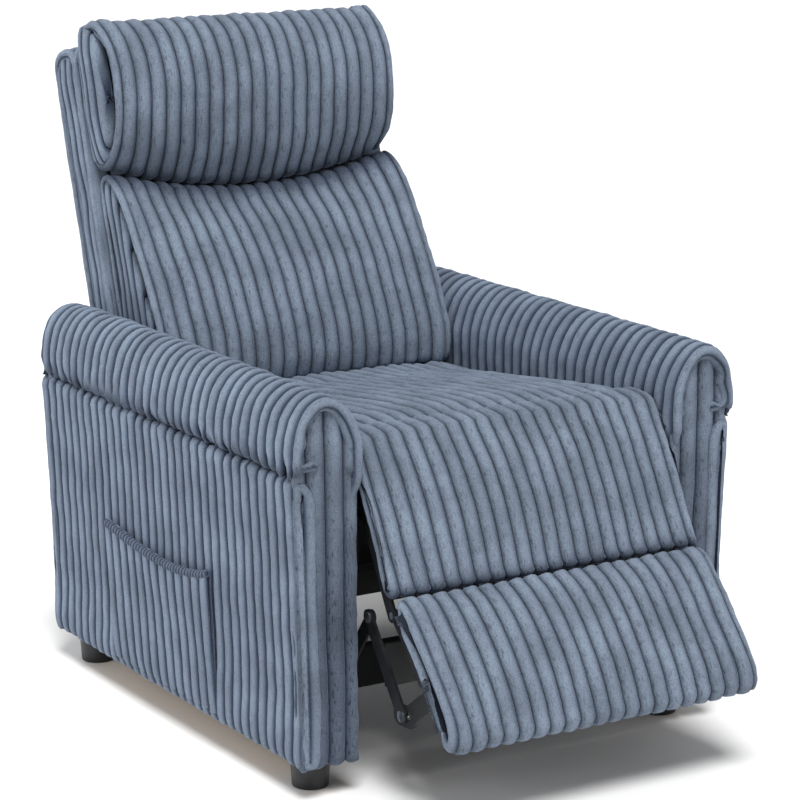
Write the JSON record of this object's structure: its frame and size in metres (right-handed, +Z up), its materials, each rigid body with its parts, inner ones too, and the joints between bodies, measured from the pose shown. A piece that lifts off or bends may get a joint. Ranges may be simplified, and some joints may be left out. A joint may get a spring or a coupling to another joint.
{
  "type": "recliner armchair",
  "caption": "Push-back recliner armchair in wide-wale corduroy, with padded rolled arms, headrest pad, side pocket, reclining back and folding footrest.",
  "frame": {"origin": "on the floor, under the middle of the chair as it stands with its footrest half open", "axes": "+Z up, the sitter faces -Y, +X to the left of the sitter"},
  "size_m": [0.742, 1.1497, 1.0102],
  "materials": {
    "corduroy": "wide-wale plush corduroy, blue grey",
    "plywood": "sawn hardwood plywood",
    "foot_plastic": "black moulded",
    "webbing": "woven elastic",
    "glide_nylon": "natural nylon",
    "zinc_steel": "zinc plated",
    "spring_steel": "oiled spring wire",
    "black_steel": "satin black powder coat"
  },
  "bodies": {
    "base": {"arm_back_panel_left": "corduroy", "arm_back_panel_right": "corduroy", "arm_frame_left": "plywood", "arm_frame_right": "plywood", "arm_front_panel_left": "corduroy", "arm_front_panel_right": "corduroy", "arm_inner_panel_left": "corduroy", "arm_inner_panel_right": "corduroy", "arm_outer_panel_left": "corduroy", "arm_outer_panel_right": "corduroy", "arm_roll_left": "corduroy", "arm_roll_right": "corduroy", "base_front_rail": "plywood", "base_rear_rail": "plywood", "foot_front_left": "foot_plastic", "foot_front_right": "foot_plastic", "foot_rear_left": "foot_plastic", "foot_rear_right": "foot_plastic", "glide_channel_left": "black_steel", "glide_channel_right": "black_steel", "side_pocket": "corduroy"},
    "seat": {"seat_rail_left": "plywood", "seat_rail_right": "plywood", "seat_rail_front": "plywood", "seat_rail_rear": "plywood", "side_plate_left": "black_steel", "side_plate_right": "black_steel", "glide_runners": "glide_nylon", "seat_springs": "spring_steel", "seat_cushion": "corduroy", "mech_cross_tube": "black_steel", "legrest_pivot_pins": "zinc_steel", "back_pivot_pins": "zinc_steel"},
    "backrest": {"back_shell": "corduroy", "back_rail_top": "plywood", "back_rail_bottom": "plywood", "back_webbing": "webbing", "lumbar_pad": "corduroy", "head_pad": "corduroy", "back_upright_left": "plywood", "back_upright_right": "plywood", "back_bracket_left": "black_steel", "back_bracket_right": "black_steel"},
    "legrest": {"legrest_pad": "corduroy", "legrest_board": "plywood", "legrest_hangers": "black_steel", "ottoman_cross_plate": "black_steel", "link_rivets": "zinc_steel", "legrest_arm_left": "black_steel", "legrest_arm_right": "black_steel", "long_link_left": "black_steel", "long_link_right": "black_steel", "short_link_left": "black_steel", "short_link_right": "black_steel", "fold_pins": "zinc_steel"},
    "footrest": {"footrest_pad": "corduroy", "footrest_board": "plywood", "footrest_hinge_leaves": "black_steel", "footrest_bracket_left": "black_steel", "footrest_bracket_right": "black_steel"}
  },
  "joints": [
    {"name": "seat_glide", "type": "slide", "parent": "base", "child": "seat", "axis": [0, -1, 0], "range_m": [0, 0.0605]},
    {"name": "recline", "type": "hinge", "parent": "seat", "child": "backrest", "pos_m": [0, 0.322, 0.4], "axis": [-1, 0, 0], "range_deg": [0, 35]},
    {"name": "legrest_lift", "type": "hinge", "parent": "seat", "child": "legrest", "pos_m": [0, -0.313, 0.44], "axis": [-1, 0, 0], "range_deg": [-34, 45]},
    {"name": "footrest_fold", "type": "hinge", "parent": "legrest", "child": "footrest", "pos_m": [0, -0.41, 0.268], "axis": [-1, 0, 0], "range_deg": [-3.5, 4.6]}
  ],
  "couplings": [
    {"joint": "seat_glide", "follows": "recline", "m_per_rad": 0.09822},
    {"joint": "footrest_fold", "follows": "legrest_lift", "ratio": 0.1}
  ]
}
